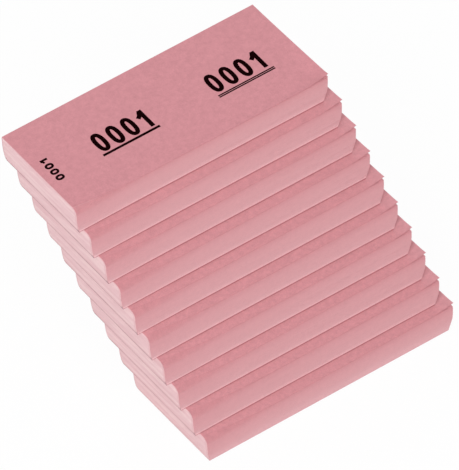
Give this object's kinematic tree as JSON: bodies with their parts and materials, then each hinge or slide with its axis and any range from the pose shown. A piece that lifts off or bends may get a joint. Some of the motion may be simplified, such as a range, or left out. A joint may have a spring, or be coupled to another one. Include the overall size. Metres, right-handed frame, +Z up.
{
  "type": "numbered ticket pad",
  "caption": "Stepped stack of pink number-ticket pads: loose paper leaves glued at one short end, each leaf perforated into a stub and tear-off tickets.",
  "frame": {"origin": "on the surface that the stack stands on, under the middle of the stack's box", "axes": "+X along a leaf from its glued end to its free end, +Y to the back, +Z up"},
  "size_m": [0.135, 0.078, 0.112],
  "materials": {
    "pink_paper": "matt uncoated paper",
    "dried_glue": "thin dried padding glue over leaf edges",
    "number_ink": "matt black print"
  },
  "bodies": {
    "pad_10": {"pad_10_leaves": "pink_paper", "pad_10_glue": "dried_glue"},
    "pad_09": {"pad_09_leaves": "pink_paper", "pad_09_glue": "dried_glue"},
    "pad_08": {"pad_08_leaves": "pink_paper", "pad_08_glue": "dried_glue"},
    "pad_07": {"pad_07_leaves": "pink_paper", "pad_07_glue": "dried_glue"},
    "pad_06": {"pad_06_leaves": "pink_paper", "pad_06_glue": "dried_glue"},
    "pad_05": {"pad_05_leaves": "pink_paper", "pad_05_glue": "dried_glue"},
    "pad_04": {"pad_04_leaves": "pink_paper", "pad_04_glue": "dried_glue"},
    "pad_03": {"pad_03_leaves": "pink_paper", "pad_03_glue": "dried_glue"},
    "pad_02": {"pad_02_leaves": "pink_paper", "pad_02_glue": "dried_glue"},
    "pad_01": {"pad_01_leaves": "pink_paper", "pad_01_glue": "dried_glue"},
    "top_leaf_stub": {"top_leaf_stub": "pink_paper"},
    "top_leaf_middle_ticket": {"top_leaf_middle_ticket": "pink_paper"},
    "top_leaf_end_ticket": {"top_leaf_end_ticket": "pink_paper"}
  },
  "joints": [
    {"name": "pad_09_lift", "type": "slide", "parent": "pad_10", "child": "pad_09", "axis": [0, 0, 1], "range_m": [0, 0.03]},
    {"name": "pad_08_lift", "type": "slide", "parent": "pad_09", "child": "pad_08", "axis": [0, 0, 1], "range_m": [0, 0.03]},
    {"name": "pad_07_lift", "type": "slide", "parent": "pad_08", "child": "pad_07", "axis": [0, 0, 1], "range_m": [0, 0.03]},
    {"name": "pad_06_lift", "type": "slide", "parent": "pad_07", "child": "pad_06", "axis": [0, 0, 1], "range_m": [0, 0.03]},
    {"name": "pad_05_lift", "type": "slide", "parent": "pad_06", "child": "pad_05", "axis": [0, 0, 1], "range_m": [0, 0.03]},
    {"name": "pad_04_lift", "type": "slide", "parent": "pad_05", "child": "pad_04", "axis": [0, 0, 1], "range_m": [0, 0.03]},
    {"name": "pad_03_lift", "type": "slide", "parent": "pad_04", "child": "pad_03", "axis": [0, 0, 1], "range_m": [0, 0.03]},
    {"name": "pad_02_lift", "type": "slide", "parent": "pad_03", "child": "pad_02", "axis": [0, 0, 1], "range_m": [0, 0.03]},
    {"name": "pad_01_lift", "type": "slide", "parent": "pad_02", "child": "pad_01", "axis": [0, 0, 1], "range_m": [0, 0.03]},
    {"name": "leaf_turn", "type": "hinge", "parent": "pad_01", "child": "top_leaf_stub", "pos_m": [-0.06722, 0.018, 0.11199], "axis": [0, -1, 0], "range_deg": [0, 60]},
    {"name": "middle_ticket_fold", "type": "hinge", "parent": "top_leaf_stub", "child": "top_leaf_middle_ticket", "pos_m": [-0.05722, 0.018, 0.11199], "axis": [0, -1, 0], "range_deg": [0, 90]},
    {"name": "end_ticket_fold", "type": "hinge", "parent": "top_leaf_middle_ticket", "child": "top_leaf_end_ticket", "pos_m": [-0.00972, 0.018, 0.11199], "axis": [0, -1, 0], "range_deg": [0, 90]}
  ]
}
